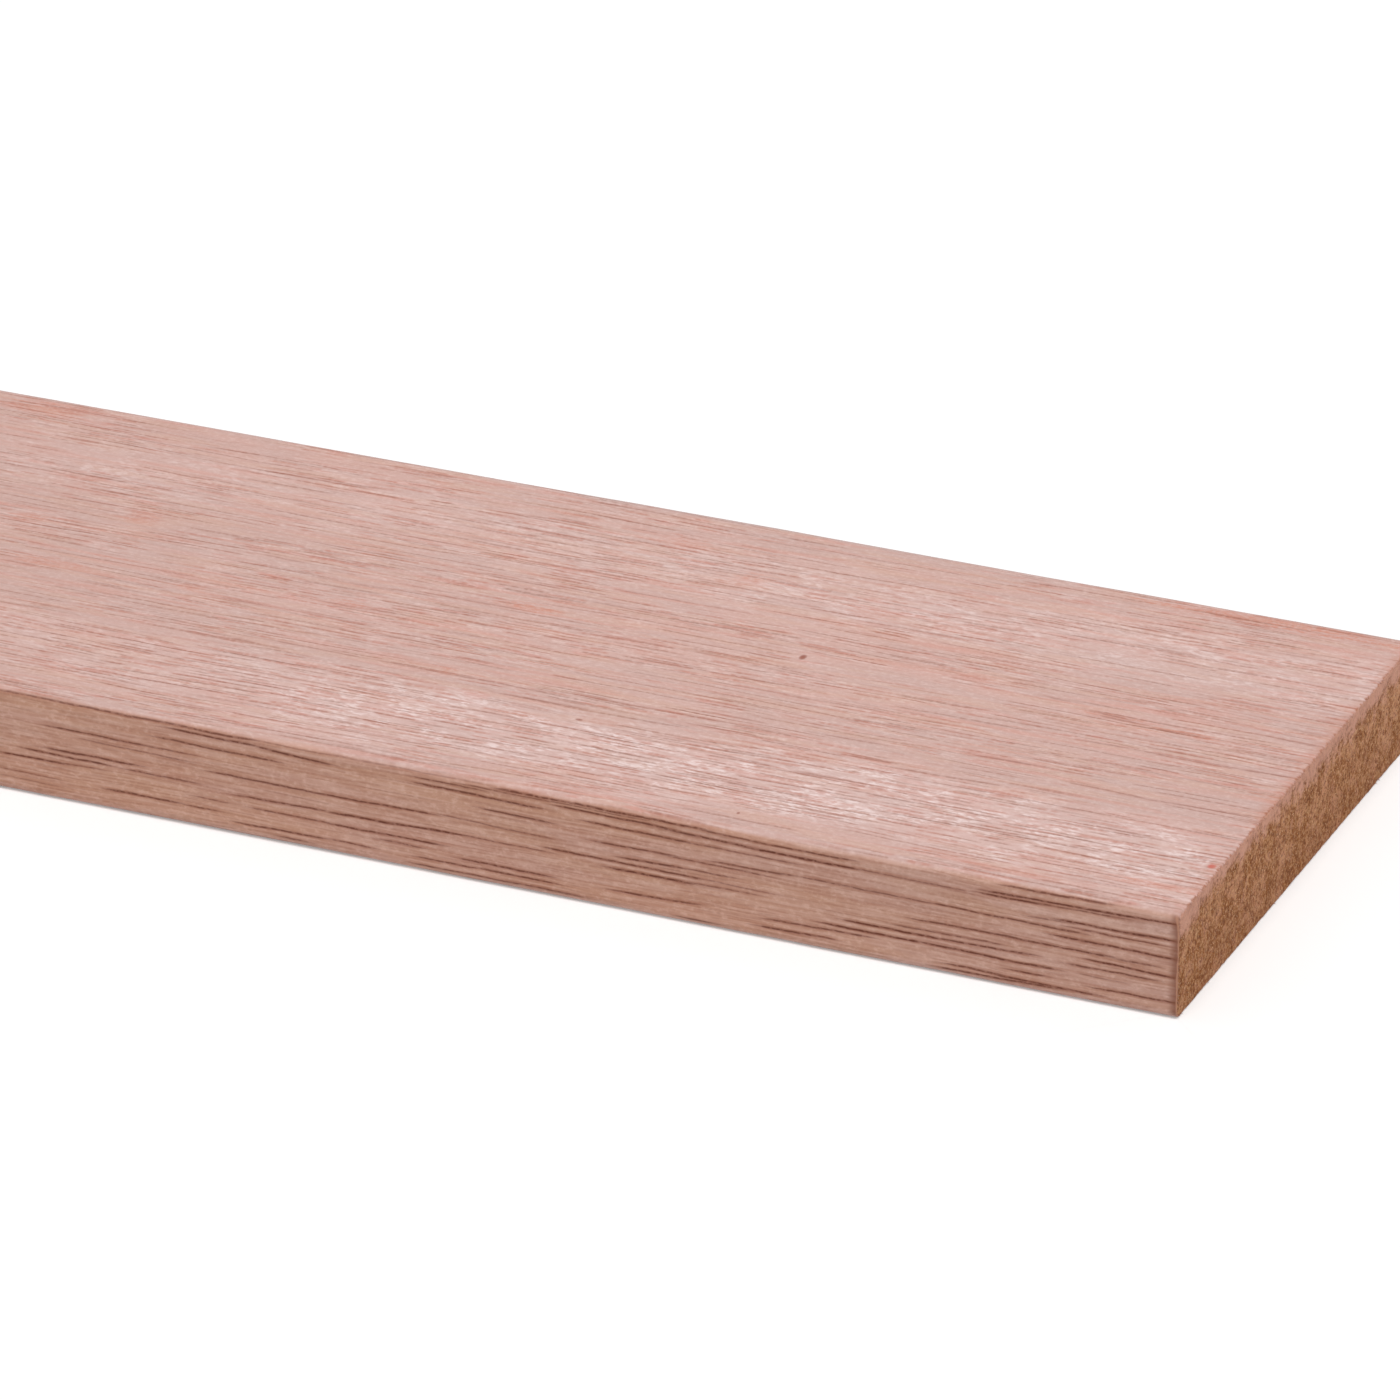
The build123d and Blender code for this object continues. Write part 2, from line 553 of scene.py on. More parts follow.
# Where the plainest dark lines of the near narrow face lie, in millimetres:
# start and stop along the board, height at each, and strength
FRONT_LINES = (
    # The first two lines run along the near upper arris and are painted shade there
    (990, 1044, 17.65, 17.25, 0.85), (1044, 1084, 17.3, 17.35, 0.45), (1080, 1112, 16.75, 16.55, 0.6),
    (1029, 1044, 16.6, 16.4, 0.9), (1044, 1057, 16.3, 15.7, 0.95),
    (1026, 1048, 14.65, 14.35, 0.85), (1007, 1025, 12.9, 12.8, 0.85), (1024, 1033, 12.75, 12.7, 0.6),
    (1013, 1032, 11.7, 11.4, 0.55), (1036, 1056, 10.4, 10.2, 0.85), (1055, 1075, 10.3, 10.45, 0.9),
    (1076, 1095, 10.7, 10.2, 0.6), (1007, 1023, 9.0, 8.95, 0.9), (1003, 1018, 8.15, 8.0, 0.9),
    (1021, 1033, 7.9, 7.8, 0.75), (998, 1010, 6.6, 6.7, 0.95), (1008, 1016, 6.8, 7.0, 0.55),
    (1040.5, 1056, 7.15, 7.4, 0.85), (1057, 1069, 7.3, 7.45, 1.0), (1067, 1080, 7.5, 7.85, 1.0),
    (1079, 1095, 7.9, 7.75, 0.6), (1094, 1121, 8.5, 8.3, 0.9), (1119, 1132, 8.35, 8.1, 0.5),
    (1033, 1039, 5.5, 5.5, 0.6), (1043, 1057, 5.4, 5.4, 0.75), (1057, 1076, 5.3, 5.45, 0.95),
    (998, 1009, 3.9, 3.7, 0.5), (1017.5, 1030, 3.75, 3.75, 0.9), (1031.5, 1037, 3.7, 3.7, 0.8),
    (998, 1008, 2.7, 2.6, 0.4), (1040.5, 1056, 2.35, 2.55, 0.85), (1057, 1064, 2.6, 2.5, 0.8),
    (1066, 1073, 4.3, 4.2, 0.7), (1072, 1082.5, 2.5, 2.6, 0.8), (1083, 1096, 2.7, 2.5, 0.85),
    (1072, 1083, 16.4, 16.3, 0.75), (1072, 1093, 15.45, 15.1, 0.9), (1083, 1095, 13.15, 13.0, 0.85),
    (1079.5, 1095, 3.7, 3.55, 0.9), (1086, 1121, 17.1, 16.9, 0.95), (1120, 1133, 16.75, 16.4, 0.75),
    (1131, 1146, 16.4, 16.5, 0.85), (1096, 1116, 16.1, 15.9, 0.9), (1114, 1131, 15.75, 15.3, 0.9),
    (1129, 1147, 15.2, 15.15, 1.0), (1146, 1165, 15.2, 15.05, 0.6), (1048, 1053, 1.3, 1.3, 0.8),
    (1071, 1100, 1.2, 1.2, 0.75), (1117, 1123, 1.0, 1.0, 0.8), (1160, 1180, 1.1, 1.45, 0.9),
    (1101, 1119, 14.45, 14.15, 0.9), (1118, 1136, 14.1, 14.1, 0.65), (1102, 1116, 11.2, 11.45, 0.85),
    (1115, 1132, 11.2, 11.0, 0.7), (1107, 1118, 9.35, 9.55, 0.9), (1118, 1126, 9.6, 9.55, 0.7),
    (1105, 1119, 7.2, 7.2, 1.0), (1118, 1130, 7.3, 7.4, 0.6), (1106, 1120, 3.3, 3.8, 0.9),
    (1123, 1137, 11.7, 11.95, 0.75), (1137, 1159, 12.0, 11.8, 0.7), (1159, 1184, 11.85, 11.6, 0.85),
    (1130, 1143, 2.2, 2.3, 0.9), (1132, 1149, 3.6, 3.95, 0.85), (1141, 1158, 4.8, 4.75, 1.0),
    (1157, 1180, 4.75, 4.6, 0.95), (1184, 1191, 4.7, 4.6, 0.45), (1145, 1161, 6.0, 6.0, 1.0),
    (1160, 1176, 6.0, 6.35, 0.9), (1153, 1171, 6.9, 7.1, 0.7), (1156, 1173, 8.6, 8.75, 0.85),
    (1171, 1189, 8.65, 8.55, 0.9), (1190, 1196, 8.4, 8.5, 0.8), (1167, 1177, 15.2, 15.2, 1.0),
    (1168, 1187, 15.75, 15.95, 0.95), (1176, 1191, 15.3, 15.6, 0.7), (1184, 1200, 15.95, 16.2, 1.0),
    (1171, 1188, 17.2, 17.4, 0.85), (1175, 1184, 12.8, 13.1, 0.6), (1180, 1200, 13.2, 13.35, 1.0),
    (1182, 1197, 12.3, 12.2, 0.75), (1179, 1200, 10.5, 10.3, 0.95), (1185, 1200, 7.45, 7.1, 1.0),
    (1182, 1196, 6.0, 6.15, 0.85), (1172.5, 1178, 3.1, 3.1, 0.95), (1186, 1200, 2.8, 2.95, 0.85),
    (1162, 1171, 2.0, 1.9, 0.85), (1170, 1187, 1.75, 1.6, 0.95),
)

# The same for the upper wide face, with the place across the board in place of the height
TOP_LINES = (
    (1190, 1200, -2.8, -2.4, 1.0), (1164, 1191, -2.8, -2.6, 0.7), (1182, 1199, -6.4, -6.7, 0.6),
    (1101, 1127, -6.3, -6.0, 0.5), (1130, 1142, -6.3, -6.0, 0.5), (1165, 1196, -9.3, -9.8, 0.5),
    (1150, 1161, -14.9, -14.6, 1.0), (1106, 1116, -17.2, -17.4, 0.7), (1126, 1137, -17.5, -17.2, 0.65),
    (1167, 1181, -18.2, -18.8, 0.85), (1180, 1199, -19.0, -18.1, 0.8), (1100, 1120, -19.6, -19.8, 0.6),
    (1104, 1112, -22.4, -22.5, 0.7), (1131, 1140, -23.2, -22.9, 0.7), (1101, 1113, -28.3, -28.6, 0.6),
    (1100, 1106, -30.6, -30.9, 0.7), (1108, 1122, -30.9, -31.5, 0.65), (1125, 1138, -32.3, -31.6, 0.8),
    (1150, 1157, -32.4, -32.6, 0.8), (1179, 1189, -31.2, -31.9, 0.7), (1161, 1168, 7.8, 7.4, 0.9),
    (1163, 1171, 6.8, 6.5, 0.9), (1171, 1182, 5.9, 6.0, 0.9), (1152, 1158, 10.2, 9.9, 0.8),
    (1144, 1150, 14.2, 14.6, 0.6), (1108, 1116, 12.6, 12.6, 0.6), (1158, 1170, 41.0, 41.1, 0.6),
    (1179, 1187, 41.2, 41.2, 0.5), (1162, 1170, 34.4, 34.4, 0.6), (1122, 1130, 29.6, 29.2, 0.6),
    (1176, 1190, 20.6, 20.6, 0.6), (1191, 1200, 10.2, 10.0, 0.7), (1192, 1200, 14.4, 14.2, 0.6),
    (1015, 1025, -9.0, -8.9, 0.85), (1025, 1043, -8.8, -8.9, 0.5), (1031, 1038, -3.5, -3.7, 0.75),
    (1023, 1029, -22.6, -22.8, 0.9), (1030, 1047, -20.6, -21.0, 0.75), (1049, 1080, -20.8, -21.0, 0.8),
    (1085, 1100, -19.8, -19.6, 0.5), (1072, 1088, -24.4, -24.1, 0.75), (1009, 1021, -20.0, -20.5, 0.6),
    (1008, 1015, -33.0, -33.2, 0.8), (1026, 1045, -33.0, -32.6, 0.7), (1046, 1064, -31.6, -31.4, 0.7),
    (1072, 1081, -31.6, -31.9, 0.8), (1026, 1034, -49.2, -49.0, 0.9), (1045, 1057, -11.4, -11.6, 0.6),
    (1058, 1067, -14.6, -14.7, 0.6), (1054, 1070, -47.0, -46.8, 0.6), (1073, 1081, -42.0, -41.4, 0.6),
    (1000, 1019, 40.8, 41.6, 0.55), (1042, 1057, 41.4, 42.5, 0.65), (1065, 1071, 44.1, 44.1, 0.7),
    (1031, 1047, 26.0, 26.1, 0.6), (1041, 1060, 30.0, 29.5, 0.5), (1046, 1066, 17.2, 16.9, 0.55),
    (1071, 1084, 14.2, 13.9, 0.6), (1044, 1063, 6.4, 6.5, 0.75), (1025, 1041, 4.8, 5.0, 0.55),
    (1079, 1100, 3.2, 3.0, 0.6), (1014, 1022, 9.4, 9.2, 0.7), (1072, 1087, 20.4, 20.4, 0.65),
    (1089, 1096, 20.4, 20.4, 0.7), (1087, 1099, 29.0, 28.8, 0.5), (1083, 1100, 48.2, 48.3, 0.45),
)

# Patches on the upper face: middle, half length, half width, strength
ORANGE_PATCHES = (
    (1064, 8.0, 7, 1.8, 0.75), (989, 15, 4, 3.5, 0.5), (1019, 2, 4, 1.4, 0.6), (1009, -7, 4, 1.4, 0.5),
    (1116, 29, 6, 3.0, 0.5), (1076, 42, 5, 3.5, 0.5), (1092, 33, 4, 3.0, 0.6), (1061, -20, 3, 1.8, 0.7),
    (1135, -40, 5, 1.3, 0.6), (1178, 51.5, 30, 2.6, 0.8), (1193, -47, 12, 1.3, 0.8),
    (1154, -46.3, 8, 1.0, 0.6), (1166, 7.6, 8, 0.9, 0.7), (1179, 6.0, 9, 0.9, 0.8),
    (1172, 4.8, 9, 0.6, 0.5), (1035, -2.6, 6, 1.6, 0.6),
    (954, 50, 9, 3.4, 0.6), (972, 7, 4, 2.6, 0.5), (983, -7.5, 8, 2.2, 0.5), (1004, -44, 4, 2.4, 0.5),
)
SPECKS = ((1111.3, 8.2, 0.75, 1.3, 1.0), (1124.5, -49.5, 0.35, 0.5, 0.8), (1088, -28.3, 0.8, 0.5, 0.8))
RED_SPECKS = ((1198.3, -37.3, 0.9, 1.0, 1.0),)

# Noise patterns: size along and across the grain, seed, and where they aren't the usual ones
# detail, roughness and distortion
PATTERNS = {
    "knots": (1.1, 0.6, 18, 2.0, 0.6),
    "ragged": (2.2, 1.5, 25, 2.0, 0.6),
    "browning": (60, 9, 26),
    "frays": (3.0, 0.85, 28, 2.0, 0.6),
    "busy": (26, 4.5, 24, 2.0, 0.6),
    "streaks": (30, 1.5, 4),
    "smudges": (5, 1.2, 5),
    "fibre": (9, 0.5, 6, 2.0, 0.6),
    "mottle": (1.15, 0.66, 7, 2.0, 0.65),
    "cloud": (15, 4, 19),
    "warmth": (20, 2.4, 27),
    "fading": (90, 200, 21, 1.0),
    "clumps": (6.5, 4.0, 9, 2.0, 0.6),
    "flecks": (2.0, 0.75, 10, 2.0, 0.65, 0.3),
    "wide_ground": (120, 16, 11),
    "groups": (70, 2.6, 12, 1.0),
    "narrow_ground": (45, 4, 13),
    "grains": (8, 0.62, 15, 3.0, 0.65),
    "lumps": (8, 2.6, 22, 3.0, 0.6),
    "pits": (8, 0.42, 16, 1.0),
    "hairs": (8, 0.42, 17),
    "sawn_ground": (40, 6.5, 14, 3.0, 0.6),
}
PATTERN_SEEDS = (17.3, 5.7, 3.1)

# Masks made of a pattern or a place: the values from which and to which it changes, and, where
# it isn't nothing and all, how much it shows at the first and at the second
MASKS = {
    "knots": ("knots", 0.36, 0.56, 0.5, 1.0),
    "browning": ("browning", 0.42, 0.60, 0.05, 0.35),
    "frays": ("frays", 0.40, 0.60, 0.12, 0.9),
    "busy": ("busy", 0.40, 0.58, 0.14, 1.0),
    "streaks": ("streaks", 0.50, 0.74),
    "smudges": ("smudges", 0.52, 0.74),
    "warmth": ("warmth", 0.46, 0.66),
    "fading": ("fading", 0.42, 0.62),
    "clumps": ("clumps", 0.38, 0.62, 0.12, 1.0),
    "flecks": ("flecks", 0.42, 0.64),
    "wide_ground": ("wide_ground", 0.34, 0.66),
    "wide_cloud": ("cloud", 0.34, 0.66, 0.0, 0.50),
    "wide_dark": ("mottle", 0.60, 0.36, 0.0, 0.20),
    "wide_pale": ("mottle", 0.50, 0.72, 0.0, 0.28),
    "patch_wear": ("mottle", 0.38, 0.6, 0.9, 0.4),
    "groups": ("groups", 0.34, 0.52),
    "narrow_ground": ("narrow_ground", 0.36, 0.66),
    "narrow_cloud": ("cloud", 0.62, 0.36, 0.0, 0.30),
    "narrow_dark": ("mottle", 0.60, 0.36, 0.0, 0.22),
    "narrow_pale": ("mottle", 0.50, 0.72, 0.0, 0.34),
    "narrow_fibre": ("fibre", 0.42, 0.66, 0.0, 0.38),
    "pits": ("pits", 0.62, 0.72),
    "hairs": ("hairs", 0.58, 0.72),
    "sawn_ground": ("sawn_ground", 0.38, 0.60),
    "dark_lumps": ("lumps", 0.54, 0.38, 0.0, 0.60),
    "pale_lumps": ("lumps", 0.52, 0.66, 0.0, 0.56),
    "pale_grains": ("grains", 0.46, 0.62, 0.0, 0.64),
    "dark_grains": ("grains", 0.48, 0.34, 0.0, 0.78),
    "drawn_stretch": ("x", 992, 1000),
    "straying": ("x", 1000, 800),
    "brighter_flecks_and_sheen": ("x", 1040, 1120),
    "darker_stretch": ("x", 1060, 960, 0.0, 0.14),
    "pink_stretch": ("gone", 80, 40, 0.0, 0.4),
    "sawn_foot": ("z", 11, 3, 0.0, 0.16),
    "near_rise": ("y", -40, -55),
    "far_rise": ("y", -5, 5),
    # The next two meet on the far upper arris, which gets painted shade
    "far_side": ("y", HALF_WIDTH - 2.0, HALF_WIDTH - 0.9),
    "top_edge": ("z", THICKNESS - 2.4, THICKNESS - 1.2),
    # The rim of the narrow faces at an end, which gets a painted highlight
    "rim_highlight": ("end", 0.0, 0.3),
    "sawn": ("end", 0.55, 1.0),
}

# Smooth moves either way: size along and across the grain, seed, how far
SHIFTS = {
    "wobble": (8.0, 2.6, 3, 0.10),
    "fine_wobble": (1.8, 0.8, 4, 0.04),
    "long_drift": (230, 30, 1, 1.6),
    "drift": (34, 6, 2, 0.42),
    "band_stray": (170, 60, 8, 7.0),
    "band_edge": (18, 8, 20, 3.0),
}
SHIFT_DETAIL, SHIFT_GAIN = 1.0, 4

# Thin lines along the grain, one to each strip of the given pitch, that start and stop: pitch,
# a line's usual length, its width as a share of the pitch, the share of each strip that has a
# line, seed, and how broken it is
LINES = {
    "pores": (0.98, 15.0, 0.18, 0.48, 1, 0.5),
    "long_pores": (2.3, 36.0, 0.10, 0.46, 2, 0.5),
    "dashes": (1.17, 11.0, 0.27, 0.48, 3, 0.45),
    "threads": (0.87, 8.0, 0.30, 0.50, 7, 0.7),
    "strong": (1.45, 26.0, 0.15, 0.55, 4, 0.5),
    "second": (1.0, 14.0, 0.16, 0.44, 5, 0.6),
    "faint": (0.66, 22.0, 0.24, 0.52, 6, 0.5),
}
ROW_SEED, STRIP_SEED, FACE_SEED = 13.37, 911.0, 77.0
CENTRE_LEAST, CENTRE_RANGE = 0.25, 0.5
THICK_LEAST, THICK_RANGE = 0.6, 0.8
LINE_OUTSIDE, LINE_INSIDE = 1.4, 0.45
COVER_GAIN, TIP_BEFORE, TIP_AFTER = 0.42, 0.035, 0.05
BIT_LENGTH, BIT_LOW, BIT_HIGH = 1.1, 0.30, 0.62

# Drawn lines: the stretch that holds them all, the most in a layer, the place and the room that
# each needs across the grain, its half width and the length of its tip
DRAWN_START, DRAWN_LENGTH = 950, 250
LAYER_LINES = 31
FRONT_DRAWING = (0.0, THICKNESS, 0.42, 0.14, 2.2)
TOP_DRAWING = (-HALF_WIDTH, HALF_WIDTH, 0.75, 0.24, 3.0)
TIP_START = -3.0
CORE_THICKER, CORE_LEAST, CORE_INSIDE, HALO_REACH = 1.3, 0.9, 0.2, 1.4

# The two bands of flecks, whose silvery paleness is painted sheen: middle across the board, outer and inner
# half width
NEAR_BAND = (-37.0, 14.0, 6.0)
FAR_BAND = (33.0, 14.0, 3.0)
FAR_BAND_STRENGTH = 0.60
BAND_LEAST, BAND_FADING = 0.45, 0.55

# The frayed brown edges toward an end, and the painted shade on the narrow faces just before it: raggedness,
# outer and inner distance from the end
BROWNED = (4.0, 5.0, 2.3)
SINGED = (1.3, 1.4, 0.95)
NARROW_RIM_SHADE = (1.0, 2.7, 1.1)
PATCH_FRAY = 4.0

# How much of the lighter pattern lines the narrow face with drawn lines keeps
SECOND_LEAST, SECOND_RANGE = 0.35, 0.65

# The heights between which the wavy upper edge of a sawn face turns paler
RISE_LOW, RISE_HIGH = 20.0, 22.8

BUMP_STRENGTH, BUMP_DISTANCE = 0.6, 0.09
SECOND_HOLLOW = 0.7
PLAIN_ROUGHNESS, MOST_ROUGHNESS = 0.50, 0.95
SPECULAR = 0.32


class Wood:
    """The wood's pattern, and the colour, relief and gloss that come of it."""

    def __init__(self, nodes):
        self.n = n = nodes
        self.place = n.new("ShaderNodeTexCoord").outputs["Object"]
        self.x, self.y, self.z = (self.attribute(name) for name in PLACE_NAMES)
        self.end = self.attribute("end")
        self.narrow = self.attribute("narrow")
        self.upper = n.math("GREATER_THAN", self.z, THICKNESS / 2)
        self.rear = n.math("GREATER_THAN", self.y, 0.0)
        # Each long face has lines of its own
        self.face_seed = n.add(self.upper, n.times(self.rear, 2.0))
        # The distance from the nearer end
        gone = n.math("SUBTRACT", END_X, n.math("ABSOLUTE", self.x))
        self.parts = {"x": self.x, "y": self.y, "z": self.z, "end": self.end, "gone": gone}
        self.masks = {}
        # Slow drifts of the grain across the board, so that no line is ruled
        self.wobble = n.add(self.shift("wobble"), self.shift("fine_wobble"))
        self.bend = n.add(n.add(self.shift("long_drift"), self.shift("drift")), self.wobble)

    def attribute(self, name):
        return self.n.new("ShaderNodeAttribute", attribute_name=name).outputs["Fac"]

    def pattern(self, along, across, seed, detail=2.0, roughness=0.5, distortion=0.0):
        """Noise in steps of `along` and `across` millimetres."""
        node = self.n.new("ShaderNodeMapping", {
            "Vector": self.place,
            "Location": [seed * number for number in PATTERN_SEEDS],
            "Scale": (1 / MM / along, 1 / MM / across, 1 / MM / across),
        })
        return self.n.noise(node.outputs[0], detail, roughness, distortion)

    def part(self, name):
        """A place or a pattern by its name. Each pattern is made once."""
        if name not in self.parts:
            self.parts[name] = self.pattern(*PATTERNS[name])
        return self.parts[name]

    def mask(self, name):
        """A mask by its name. Each is made once."""
        if name not in self.masks:
            part, *limits = MASKS[name]
            self.masks[name] = self.n.step(self.part(part), *limits)
        return self.masks[name]

    def coats(self, colour, *coats):
        """Lays tones over a colour in turn. Each has a mask or its name, its strength and its tone."""
        for share, strength, shade in coats:
            if isinstance(share, str):
                share = self.mask(share)
            if strength != 1:
                share = self.n.times(share, strength)
            colour = self.n.mix(share, colour, tone(*shade))
        return colour

    def shift(self, name):
        along, across, seed, size = SHIFTS[name]
        n = self.n
        return n.times(n.add(self.pattern(along, across, seed, SHIFT_DETAIL), -0.5), size * SHIFT_GAIN)

    def lines(self, name, across):
        """The thin lines of this name, laid out by the place across the grain."""
        n = self.n
        pitch, run, width, cover, seed, broken = LINES[name]
        row = n.add(n.math("DIVIDE", across, pitch), seed * ROW_SEED)
        number = n.math("FLOOR", row)
        inside = n.math("SUBTRACT", row, number)
        chance = n.new("ShaderNodeTexWhiteNoise", {"W": number}, noise_dimensions="1D")
        parts = n.new("ShaderNodeSeparateColor", {0: chance.outputs["Color"]})
        centre = n.add(n.times(parts.outputs[0], CENTRE_RANGE), CENTRE_LEAST)
        away = n.math("ABSOLUTE", n.math("SUBTRACT", inside, centre))
        thick = n.add(n.times(parts.outputs[1], width * THICK_RANGE), width * THICK_LEAST)
        line = n.step(n.math("DIVIDE", away, thick), LINE_OUTSIDE, LINE_INSIDE)
        start = n.add(n.times(parts.outputs[2], STRIP_SEED), n.times(self.face_seed, FACE_SEED))
        present = n.noise_line(n.add(n.math("DIVIDE", self.x, run), start))
        limit = 0.5 - (cover - 0.5) * COVER_GAIN
        shown = n.step(present, limit - TIP_BEFORE, limit + TIP_AFTER)
        bits = n.noise_line(n.add(n.math("DIVIDE", self.x, BIT_LENGTH), start))
        return n.times(line, shown, n.step(bits, BIT_LOW, BIT_HIGH, 1 - broken, 1.0))

    def drawn_lines(self, across, places, low, high, room, half, tip):
        """Lines at the given places, and the soft dark edge round each.

        Lines that don't overlap across the grain share a layer. A layer looks its line up
        in two colour ramps by the place across the grain, between low and high.
        """
        n = self.n
        layers = []
        for line in sorted(places, key=lambda line: line[2] + line[3]):
            bottom, top = min(line[2:4]) - room, max(line[2:4]) + room
            fits = [layer for layer in layers if layer[-1][1] <= bottom and len(layer) < LAYER_LINES]
            if fits:
                fits[0].append((bottom, top, line))
            else:
                layers.append([(bottom, top, line)])

        def along_share(x):
            return (x - DRAWN_START) / DRAWN_LENGTH

        def across_share(place):
            return (place - low) / (high - low)

        share = n.math("DIVIDE", n.add(across, -low), high - low)
        core, halo = 0.0, 0.0
        for layer in layers:
            edges = [layer[0][0]]
            for (_, top, _), (bottom, _, _) in zip(layer, layer[1:]):
                edges.append((top + bottom) / 2)
            positions = [clamp(across_share(edge), 0.0001, 1.0) for edge in edges]
            lines = [line for _, _, line in layer]
            ends = self.look_up(share, positions, [
                (along_share(line[0]), along_share(line[1]), line[4]) for line in lines])
            heights = self.look_up(share, positions, [
                (across_share(line[2]), across_share(line[3]), 0.0) for line in lines])
            start, stop = (n.add(n.times(ends[i], DRAWN_LENGTH), DRAWN_START) for i in (0, 1))
            first, last = (n.add(n.times(heights[i], high - low), low) for i in (0, 1))
            middle = n.new("ShaderNodeMapRange", dict(enumerate((self.x, start, stop, first, last))))
            away = n.math("ABSOLUTE", n.math("SUBTRACT", across, middle.outputs[0]))
            left = n.math("SUBTRACT", self.x, start)
            right = n.math("SUBTRACT", stop, self.x)
            shown = n.times(n.step(n.math("MINIMUM", left, right), TIP_START, tip), ends[2])
            thick = n.add(n.times(shown, half * CORE_THICKER), half * CORE_LEAST)
            core = n.math("MAXIMUM", core, n.times(n.step(away, thick, half * CORE_INSIDE), shown))
            halo = n.math("MAXIMUM", halo, n.times(n.step(away, room * HALO_REACH, half), shown))
        return core, halo

    def look_up(self, share, positions, values):
        """Three numbers of the strip, from these positions on, that holds this share."""
        n = self.n
        node = n.new("ShaderNodeValToRGB", {0: share})
        ramp = node.color_ramp
        ramp.interpolation = "CONSTANT"
        ramp.elements[0].position = 0.0
        ramp.elements[0].color = (0, 0, 0, 1)
        ramp.elements.remove(ramp.elements[1])
        for position, numbers in zip(positions, values):
            ramp.elements.new(position).color = (*numbers, 1)
        return n.new("ShaderNodeSeparateColor", {0: node.outputs["Color"]}).outputs

    def patches(self, places, ragged=0.0):
        """Soft oval patches at the given places on the upper face. ragged frays their edges."""
        n = self.n
        total = 0.0
        for x, y, half_length, half_width, strength in places:
            along = n.times(n.add(self.x, -x), 1 / half_length)
            across = n.times(n.add(self.y, -y), 1 / half_width)
            away = n.add(n.times(along, along), n.times(across, across), ragged)
            total = n.math("MAXIMUM", total, n.step(away, 1.0, 0.0, 0.0, strength))
        return n.times(total, self.upper)

    def toward_end(self, raggedness, outer, inner):
        """Rises from nothing at the outer distance from an end to full at the inner one."""
        n = self.n
        return n.step(n.add(self.part("gone"), n.times(self.part("ragged"), raggedness)), outer, inner)

    def band(self, place, middle, outer, inner):
        n = self.n
        return n.step(n.math("ABSOLUTE", n.add(place, -middle)), outer, inner)

    def wide_faces(self):
        """Pores and reddish dashes, thick on busy ground and thin between, and flecks whose silvery paleness
        is painted sheen.
        """
        n = self.n
        drawn = self.mask("drawn_stretch")
        core, halo = self.drawn_lines(n.add(self.y, self.wobble), TOP_LINES, *TOP_DRAWING)
        core = n.times(core, drawn, self.mask("knots"), self.upper)
        halo = n.times(halo, drawn, self.upper)

        across = n.add(self.y, self.bend)
        self.pores = self.lines("pores", across)
        self.long_pores = self.lines("long_pores", across)
        dashes = self.lines("dashes", across)
        threads = self.lines("threads", across)

        # Flecks lie in two bands along the board. Their silvery paleness, and the paler bands, are painted
        # sheen
        stray = n.times(self.shift("band_stray"), self.mask("straying"))
        band_place = n.add(self.y, stray, self.shift("band_edge"))
        near_band = self.band(band_place, *NEAR_BAND)
        far_band = n.times(self.band(band_place, *FAR_BAND), FAR_BAND_STRENGTH)
        fading = n.math("MAXIMUM", self.mask("fading"), self.mask("brighter_flecks_and_sheen"))
        fading = n.add(n.times(fading, BAND_FADING), BAND_LEAST)
        sheen_bands = n.times(n.math("MAXIMUM", near_band, far_band), fading)
        self.flecks = n.times(self.mask("flecks"), self.mask("clumps"), sheen_bands)

        busy = self.mask("busy")
        dashed = n.math("MAXIMUM", busy, near_band)
        fray = n.add(n.times(self.part("fibre"), PATCH_FRAY), -PATCH_FRAY / 2)
        orange = n.times(self.patches(ORANGE_PATCHES, fray), self.mask("patch_wear"))
        browned = n.times(self.toward_end(*BROWNED), self.mask("browning"))
        ground = n.mix(self.mask("wide_ground"), tone(213, 174, 164), tone(208, 173, 164))
        return self.coats(
            ground,
            ("wide_cloud", 1, (203, 173, 166)),
            ("warmth", 0.34, (214, 170, 148)),
            ("streaks", 0.46, (213, 148, 132)),
            (n.times(self.mask("smudges"), busy), 0.46, (210, 138, 124)),
            ("wide_dark", 1, (192, 144, 130)),
            ("wide_pale", 1, (236, 208, 201)),
            (n.times(threads, busy), 0.46, (236, 207, 200)),
            (orange, 1, (208, 134, 112)),
            # The paler bands and the flecks: the flecks are the wood's own, their silvery paleness is painted
            # sheen
            (sheen_bands, 0.30, (226, 194, 188)),
            (self.flecks, 0.74, (248, 227, 224)),
            (n.times(dashes, dashed), 0.54, (186, 114, 94)),
            (n.times(self.pores, dashed), 0.48, (148, 96, 78)),
            (self.long_pores, 0.46, (152, 98, 80)),
            (halo, 0.22, (200, 138, 120)),
            (core, 0.60, (140, 86, 70)),
            (self.patches(SPECKS), 1, (154, 92, 76)),
            (self.patches(RED_SPECKS), 1, (204, 104, 92)),
            (browned, 1, (192, 124, 96)),
            ("darker_stretch", 1, (186, 142, 130)),
        )

    def narrow_faces(self):
        """Long dark vessel lines, in groups. The near face has drawn ones toward its end."""
        n = self.n
        front = n.times(self.mask("drawn_stretch"), n.without(self.rear))
        elsewhere = n.without(front)
        core, halo = self.drawn_lines(n.add(self.z, self.wobble), FRONT_LINES, *FRONT_DRAWING)
        core = n.times(core, front, self.mask("knots"))
        halo = n.times(halo, front)

